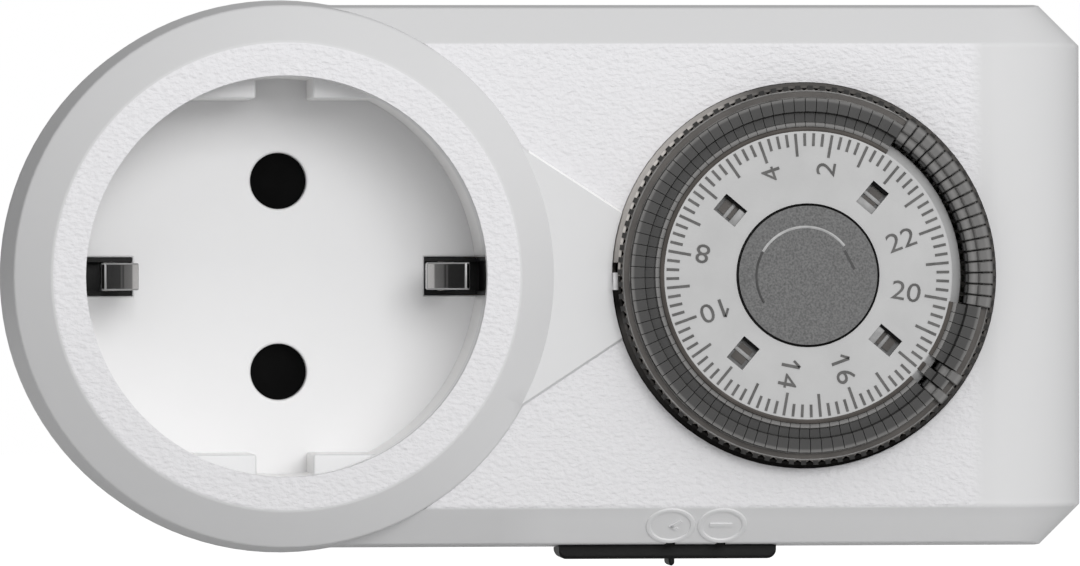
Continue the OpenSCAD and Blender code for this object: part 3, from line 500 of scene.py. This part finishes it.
# painted reflection: the bezel's tone round its edge stands for the studio that its gloss mirrors
tree = bezel_black.node_tree
across, up = from_dial_axis(tree)
turn = math_node(tree, "DIVIDE", math_node(tree, "ARCTAN2", up, across), 2 * math.pi)
ramp_over(bezel_black, math_node(tree, "ADD", turn, 0.5),
          [(0.0, 0.02), (0.025, 0.01), (0.045, 0.07), (0.09, 0.03), (0.14, 0.01), (0.33, 0.008),
           (0.42, 0.08), (0.7, 0.1), (0.79, 0.12), (0.83, 0.4), (0.9, 0.6), (0.97, 0.5),
           (1.0, 0.3)], 0.05)

LEAF_FROM, LEAF_OVER = 14, 4     # where a clip's ramp starts and how far it goes
# painted highlight: the earth clips' rounded edges are painted lighter than their leaves
clip_leaf = metal("clip leaf", grey(0.2), grey(0.3), (0.2, 0.3))
clip_edge_highlight = metal("clip edge highlight", grey(0.36), grey(0.46), (0.35, 0.5))
# painted reflection: the leaf's ramp stands for the dark well that it mirrors
tree = clip_leaf.node_tree
x, y, up = object_axes(tree)
reach = math_node(tree, "ABSOLUTE", x, 0.0)
ramp_over(clip_leaf, share(tree, reach, LEAF_FROM, LEAF_OVER),
          [(0.0, 0.62), (0.2, 0.55), (0.24, 0.17), (0.42, 0.13), (0.46, 0.02), (0.5, 0.10),
           (0.54, 0.015), (1.0, 0.015)])

DIAL_FROM, DIAL_OVER = 14, 5     # the same for a ramp from the dial's axis


def by_dial_radius(material, stops):
    """A ramp over the distance from the dial's axis; the stops are in millimetres."""
    tree = material.node_tree
    across, up = from_dial_axis(tree)
    square = math_node(tree, "ADD", math_node(tree, "MULTIPLY", across, across),
                       math_node(tree, "MULTIPLY", up, up))
    fraction = share(tree, math_node(tree, "POWER", square, 0.5), DIAL_FROM, DIAL_OVER)
    ramp_over(material, fraction, [((at - DIAL_FROM) / DIAL_OVER, level) for at, level in stops])


# painted highlights and shade along the steps of the switched-off tappets
by_dial_radius(tappet_dark, [(14.4, 0.07), (14.7, 0.14), (14.85, 0.19), (15.05, 0.16),
                             (15.12, 0.045), (15.9, 0.035), (16.1, 0.042), (17.05, 0.046),
                             (17.2, 0.12), (17.4, 0.15)])
# painted highlights and shade along the switched-on tappets; near black on their inner lips as
# painted shade
by_dial_radius(tappet_grey, [(15.85, 0.001), (15.95, 0.07), (16.2, 0.14), (16.5, 0.2), (16.7, 0.17),
                             (16.85, 0.18), (17.0, 0.19), (17.1, 0.125), (17.7, 0.13), (17.9, 0.17),
                             (18.1, 0.15), (18.25, 0.08)])
print("ramps on", [m.name for m in (bezel_black, clip_leaf, tappet_dark, tappet_grey)])

# %% [markdown]
# ## Which piece gets which finish
# The record gives each engineered piece a slot, such as `earth_metal`, and one finish goes with
# each slot. The two shells take the grained white instead of the housing's polished one.

# %% The finish of every slot
FINISH = {
    "housing": inner_white, "frame_plastic": frame_plastic, "pin_plating": nickel,
    "earth_metal": nickel, "contact_brass": brass, "screw_steel": steel, "spring_steel": steel,
    "arbor_steel": steel, "can_steel": can_zinc, "magnet": ferrite, "copper_wire": copper,
    "lead_sleeve": lead_red, "gear_plastic": gear_plastic, "bobbin_plastic": bobbin_plastic,
    "bezel_black": bezel_black, "shutter_black": shutter_black, "slider_black": slider_black,
    "dial_rim": rim_brown, "dial_light": face_grey, "knob_grey": knob_grey,
    "tappet_dark": tappet_dark, "tappet_grey": tappet_grey,
}


def dress(node_name, material):
    mesh = nodes[node_name].data
    mesh.materials.clear()
    mesh.materials.append(material)


for entry in frame["record"]["subparts"]:
    dress(entry["node"], FINISH[entry["material_slot"]])
for shell in ("rear_shell", "front_shell"):
    dress(shell, housing_white)
print("dressed", len(nodes), "pieces")

# %% [markdown]
# ## A piece from a bmesh
# Every new piece goes through one helper: it writes the mesh, gives it a finish, and lets it ride
# on the body that carries it.

# %% Helper for pieces
def piece(name, bm, material, body, smooth_angle=35.0):
    mesh = bpy.data.meshes.new(name)
    bmesh.ops.recalc_face_normals(bm, faces=bm.faces)
    bm.normal_update()
    for face in bm.faces:
        face.smooth = True
    for edge in bm.edges:
        edge.smooth = edge.is_manifold and edge.calc_face_angle() < math.radians(smooth_angle)
    bm.to_mesh(mesh)
    bm.free()
    mesh.materials.append(material)
    thing = bpy.data.objects.new(name, mesh)
    bpy.context.scene.collection.objects.link(thing)
    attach(thing, body)
    print(name, "has", len(mesh.polygons), "faces")
    return thing


# From drawing axes (x right, y up, z towards the viewer) to the scene's
STAND = Matrix(((1, 0, 0, 0), (0, 0, -1, 0), (0, 1, 0, 0), (0, 0, 0, 1)))


def on_dial(angle=0.0, radius=0.0, out=DIAL_TOP, turn=0.0):
    """A place on the dial: local x points away from the axis, z towards the viewer."""
    return (STAND @ Matrix.Translation((DIAL_X * MM, 0, out * MM))
            @ Matrix.Rotation(math.radians(angle), 4, "Z")
            @ Matrix.Translation((radius * MM, 0, 0))
            @ Matrix.Rotation(math.radians(turn), 4, "Z"))


# %% [markdown]
# ## Softened edges
# Moulded plastic and pressed metal have no sharp corners. Each of these pieces is a copy of an
# engineered one with its loose triangles joined, flat areas made whole again, and its outer
# corners rounded; it then stands for the engineered piece.

# %% Softened copies
WELD = 2e-6              # metres within which loose corners are one
FLAT = math.radians(0.5)
CORNER = math.radians(24)


def softened(node_name, wide, material, body, keep=None, steps=3, painted_edge=None):
    """Rounds the corners over `wide` mm; `keep` says which places of the drawing take part."""
    bm = bmesh.new()
    bm.from_mesh(nodes[node_name].data)
    bmesh.ops.remove_doubles(bm, verts=bm.verts, dist=WELD)
    bmesh.ops.dissolve_limit(bm, angle_limit=FLAT, verts=bm.verts, edges=bm.edges)
    corners = [e for e in bm.edges if e.is_manifold and e.calc_face_angle_signed() > CORNER
               and (keep is None or all(keep(*drawing_place(v.co)) for v in e.verts))]
    made = bmesh.ops.bevel(bm, geom=corners, offset=wide * MM, segments=steps, profile=0.5,
                           affect="EDGES", material=-1)
    # the rounded edges can take a second tone: a painted highlight on the earth clips, painted
    # shade on the knob
    if painted_edge:
        for face in made["faces"]:
            face.material_index = 1
    soft = piece("soft_" + node_name, bm, material, body, 32.0)
    if painted_edge:
        soft.data.materials.append(painted_edge)
    even = soft.modifiers.new("even shading", "WEIGHTED_NORMAL")
    even.keep_sharp = True
    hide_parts(node_name)


def drawing_place(co):
    return co.x / MM, co.z / MM, -co.y / MM


def on_front(x, up, out):
    """The front shell's outer corners, not those of the dial's hole, the well or the seam."""
    beyond_dial = math.hypot(x - DIAL_X, up) > 19.8
    return out > 36.6 and beyond_dial and math.hypot(x, up) > 20


softened("front_shell", 0.3, housing_white, "housing", on_front)
softened("rear_shell", 0.3, housing_white, "housing", lambda x, up, out: out < 17.7)
softened("socket_cup", 0.25, well_white, "housing", lambda x, up, out: out > 29)
# each clip's leaf carries a painted reflection, and its rounded edges a painted highlight
for clip in ("earth_clip_left", "earth_clip_right"):
    softened(clip, 0.16, clip_leaf, "housing", None, 2, clip_edge_highlight)
softened("override_slider", 0.35, slider_black, "slider",
         lambda x, up, out: up < -27.1)
softened("dial_face", 0.2, face_grey, "dial",
         lambda x, up, out: out > 47 and math.hypot(x - DIAL_X, up) > 14)
# painted shade: the knob's rounded edges are near black, like the shaded gap round the knob
softened("centre_knob", 0.12, knob_grey, "dial", None, 3, shade_and_notch_black)
for tappets, body in (("tappets_on", "dial"), ("tappet_a", "tappet_a"), ("tappet_b", "tappet_b")):
    softened(tappets, 0.09, tappet_grey, body, None, 1)

# %% [markdown]
# ## Ridges
# Fine raised lines are arcs: a small round is spun about the middle of its own flat place. Half of
# it stays sunk in the surface.

# %% Ridge helper
def ridge(bm, place, radius, wide, high, start=0.0, turn=360.0, steps=120):
    """A raised line `wide` across and `high` tall along an arc in the plane of `place`."""
    before = len(bm.verts)
    round_verts = bmesh.ops.create_circle(bm, segments=8, radius=1.0)["verts"]
    shape = (Matrix.Rotation(math.radians(start), 4, "Z") @ Matrix.Translation((radius * MM, 0, 0))
             @ Matrix.Rotation(math.radians(90), 4, "X")
             @ Matrix.Diagonal((wide / 2 * MM, high * MM, 1, 1)))
    bmesh.ops.transform(bm, verts=round_verts, matrix=shape)
    outline = list({e for v in round_verts for e in v.link_edges})
    bmesh.ops.spin(bm, geom=round_verts + outline, cent=(0, 0, 0), axis=(0, 0, 1),
                   angle=math.radians(turn), steps=steps, use_merge=turn == 360.0)
    bmesh.ops.holes_fill(bm, edges=[e for e in bm.edges if e.is_boundary])
    bm.verts.ensure_lookup_table()
    bmesh.ops.transform(bm, verts=bm.verts[before:], matrix=place)


def bar(bm, place, size):
    """A straight block of the given size in mm, centred on `place`."""
    made = bmesh.ops.create_cube(bm, size=1.0)["verts"]
    bmesh.ops.scale(bm, verts=made, vec=[length * MM for length in size])
    bmesh.ops.transform(bm, verts=made, matrix=place)


# %% [markdown]
# ## Around the dial
# The rim carries two thin beads that catch the light, painted lighter as highlights, and a row of
# grip teeth that just clear the bezel's lip. Each switched-off tappet has a smoky lip that covers
# the edge of the face.

# %% Bead, teeth and lips
FIRST_EDGE = -10.5       # angle where the first switched-on tappet starts
RIM_OUT = 46.2           # the knurled ring's front
TOOTH = (0.42, 0.5, 0.2)
bead = bmesh.new()
ridge(bead, on_dial(out=RIM_OUT), 18.12, 0.16, 0.05)
ridge(bead, on_dial(out=RIM_OUT), 17.475, 0.15, 0.08)
piece("rim_bead", bead, bead_highlight_grey, "dial")

teeth = bmesh.new()
for quarter in range(QUARTERS):
    bar(teeth, on_dial(FIRST_EDGE + (quarter + 0.5) * STEP, 18.44, RIM_OUT - 0.07), TOOTH)
piece("grip_teeth", teeth, tooth_black, "dial")

bezel_lip = bmesh.new()
ridge(bezel_lip, on_dial(out=45.95), 18.51, 0.24, 0.06)
piece("bezel_lip", bezel_lip, bezel_black, "housing")

LIP_OUT, LIP_R, LIP_WIDE, LIP_HIGH = 47.0, 14.33, 0.56, 0.25


def lips(name, body, stretches):
    """Smoky lips over whole stretches of tappets, each given as its first and its count."""
    bm = bmesh.new()
    for first, count in stretches:
        ridge(bm, on_dial(out=LIP_OUT), LIP_R, LIP_WIDE, LIP_HIGH, FIRST_EDGE + first * STEP,
              count * STEP, 3 * count)
    piece(name, bm, rim_brown, body)


lips("off_lips", "dial", [(19, 68), (-8, 1), (-6, 5)])
lips("lip_c", "tappet_c", [(-1, 1)])
lips("lip_d", "tappet_d", [(18, 1)])

# %% [markdown]
# ## Clips in the windows
# Each of the four windows in the dial's face shows a crossbar and the root of a spring clip over a
# shallow floor. In one window the root is out of sight. The side from which the light comes is in
# black shade, and `shaded` says where it is: along the window's own x and y.

# %% Window clips
WINDOW_LONG, WINDOW_WIDE = 2.57, 1.9
WINDOW_R = 9.93          # middle of a window
MARGIN = 0.2             # a floor reaches this much further, under the window's edges
SHADE_WIDE = 0.24
CROSSBAR = (0.4, 2.1, 0.5)
ROOT = (0.9, 2.1, 0.6)
ROOTLESS = 230
shaded = {50: (1, 0), 140: (0, -1), 230: (-1, 0), 320: (0, 1)}
clips, floors, shades = bmesh.new(), bmesh.new(), bmesh.new()
for angle, (along_x, along_y) in shaded.items():
    bar(clips, on_dial(angle, 9.95, 46.3), CROSSBAR)
    if angle != ROOTLESS:
        bar(clips, on_dial(angle, 8.9, 46.65), ROOT)
    bar(floors, on_dial(angle, WINDOW_R, 46.14), (WINDOW_LONG + MARGIN, WINDOW_WIDE + MARGIN, 0.2))
    edge = Matrix.Translation((along_x * (WINDOW_LONG - SHADE_WIDE) / 2 * MM,
                               along_y * (WINDOW_WIDE - SHADE_WIDE) / 2 * MM, 0))
    bar(shades, on_dial(angle, WINDOW_R, 46.6) @ edge,
        (SHADE_WIDE if along_x else WINDOW_LONG, SHADE_WIDE if along_y else WINDOW_WIDE, 0.9))
bmesh.ops.bevel(clips, geom=clips.edges[:], offset=0.1 * MM, segments=2, profile=0.5,
                affect="EDGES", material=-1)
piece("window_clips", clips, clip_grey, "dial")
piece("window_floors", floors, floor_grey, "dial")
piece("window_shades", shades, shade_and_notch_black, "dial")

# %% [markdown]
# ## The arrow on the knob
# A thin ridge curls clockwise around the knob and ends in one barb: it shows which way to turn. Its
# upper arc is painted light as a highlight, and its tail and its barb dark as painted shade.

# %% Knob arrow
KNOB_TOP = 47.45
CURL = (4.85, 0.38, 0.19)    # radius, width and height
BARB = (0.24, 2.1, 0.22)
arrow = bmesh.new()
curl = on_dial(out=KNOB_TOP) @ Matrix.Translation((-0.25 * MM, -0.1 * MM, -0.14 * MM))
ridge(arrow, curl, *CURL, 38.0, 112.0, 60)
piece("knob_arrow", arrow, arrow_highlight_grey, "dial")
ends = bmesh.new()
ridge(ends, curl, *CURL, 150.0, 62.0, 40)
bar(ends, on_dial(20.2, 4.35, KNOB_TOP - 0.06, 7.8), BARB)
piece("arrow_ends", ends, arrow_shade_grey, "dial")

# %% [markdown]
# ## Ticks
# Ninety-six fine ribs divide the dial's edge: one for each quarter of an hour, longer on the
# hour. Each is a cube scaled to a bar, and all are one mesh.

# %% Ticks
HOUR_20 = -10.0          # angle of the hour 20
TICK_HIGH, TICK_WIDE = 0.06, 0.27
TICK_END = 13.95
HOUR_START, QUARTER_START = 11.7, 12.7
ticks = bmesh.new()
for quarter in range(QUARTERS):
    start = HOUR_START if quarter % 4 == 0 else QUARTER_START
    level = DIAL_TOP + TICK_HIGH / 2 - 0.01
    place = on_dial(HOUR_20 + quarter * STEP, (start + TICK_END) / 2, level)
    bar(ticks, place, (TICK_END - start, TICK_WIDE, TICK_HIGH))
# painted shade: the ribs take the darker grey of the figures
piece("dial_ticks", ticks, relief_shade_grey, "dial")

# %% [markdown]
# ## Figures
# The even hours are moulded between the four clips, and read outwards from the axis. Text gives
# the shapes, which become one mesh before they are set in place. Some stand a little askew, and
# each 1 gets a flag, which the built-in letters lack.

# %% Figures
def figure_mesh(words, height, thick):
    curve = bpy.data.curves.new("figure", "FONT")
    curve.body = words
    curve.align_x, curve.align_y = "RIGHT", "CENTER"
    curve.size = height
    curve.extrude = thick / 2
    curve.resolution_u = 4
    thing = bpy.data.objects.new("figure", curve)
    bpy.context.scene.collection.objects.link(thing)
    bpy.context.view_layer.update()
    solid = thing.evaluated_get(bpy.context.evaluated_depsgraph_get())
    mesh = bpy.data.meshes.new_from_object(solid)
    bpy.data.objects.remove(thing)
    return mesh


FIGURE_R = 11.35         # outer end of a figure
FIGURE_HIGH, FIGURE_THICK = 2.65, 0.07
FIGURE_STRETCH = 1.15
FLAG_LEAN = math.radians(54)
FLAG = (0.9, 0.24, FIGURE_THICK)
askew = {2: -0.4, 4: -0.9, 8: -2.2, 10: 0.0, 14: -1.6, 16: 0.0, 20: 0.0, 22: 0.0}
figures = bmesh.new()
for hour, nudge in askew.items():
    mesh = figure_mesh(str(hour), FIGURE_HIGH * MM, FIGURE_THICK * MM)
    mesh.transform(Matrix.Diagonal((FIGURE_STRETCH, 1, 1, 1)))
    left, top = min(v.co.x for v in mesh.vertices), max(v.co.y for v in mesh.vertices)
    place = on_dial(HOUR_20 + (hour - 20) * HOUR + nudge, FIGURE_R, DIAL_TOP + 0.02)
    mesh.transform(place)
    figures.from_mesh(mesh)
    if str(hour).startswith("1"):
        corner = Matrix.Translation((left - 0.15 * MM, top - 0.35 * MM, 0))
        bar(figures, place @ corner @ Matrix.Rotation(FLAG_LEAN, 4, "Z"), FLAG)
    bpy.data.meshes.remove(mesh)
bmesh.ops.remove_doubles(figures, verts=figures.verts, dist=1e-7)
# painted shade: the figures are darker than the face they stand on
piece("dial_figures", figures, relief_shade_grey, "dial")

# %% [markdown]
# ## Signs on the lower bevel
# Two raised rings stand over the slider's two places: a clock for the timer, and a stroke for
# always on. Below each, a small dark notch marks the edge.

# %% Signs and notches
def on_lower_bevel(x, along=0.0, turn=0.0):
    """A place on the bevel under the dial: local y runs up the slope, z stands off it."""
    return (STAND @ Matrix.Translation((x * MM, -24.65 * MM, 41.65 * MM))
            @ Matrix.Rotation(math.radians(45), 4, "X")
            @ Matrix.Translation((0, along * MM, 0)) @ Matrix.Rotation(math.radians(turn), 4, "Z"))


CLOCK_X, STROKE_X = 38.1, 43.2
signs = bmesh.new()
for x in (CLOCK_X, STROKE_X):
    ridge(signs, on_lower_bevel(x), 2.2, 0.55, 0.17, steps=64)
bar(signs, on_lower_bevel(CLOCK_X + 0.5, 0.25, 40.0), (1.4, 0.34, 0.26))
bar(signs, on_lower_bevel(CLOCK_X + 0.35, -0.25, -38.0), (0.9, 0.34, 0.26))
bar(signs, on_lower_bevel(STROKE_X - 0.1, 0.15), (2.2, 0.4, 0.3))
piece("bevel_signs", signs, housing_white, "housing")

NOTCH = (0.85, 0.7, 2.3)
notches = bmesh.new()
for x in (CLOCK_X + 0.15, STROKE_X + 0.05):
    bar(notches, STAND @ Matrix.Translation((x * MM, -26.3 * MM, 38.85 * MM)), NOTCH)
piece("edge_notches", notches, shade_and_notch_black, "housing")
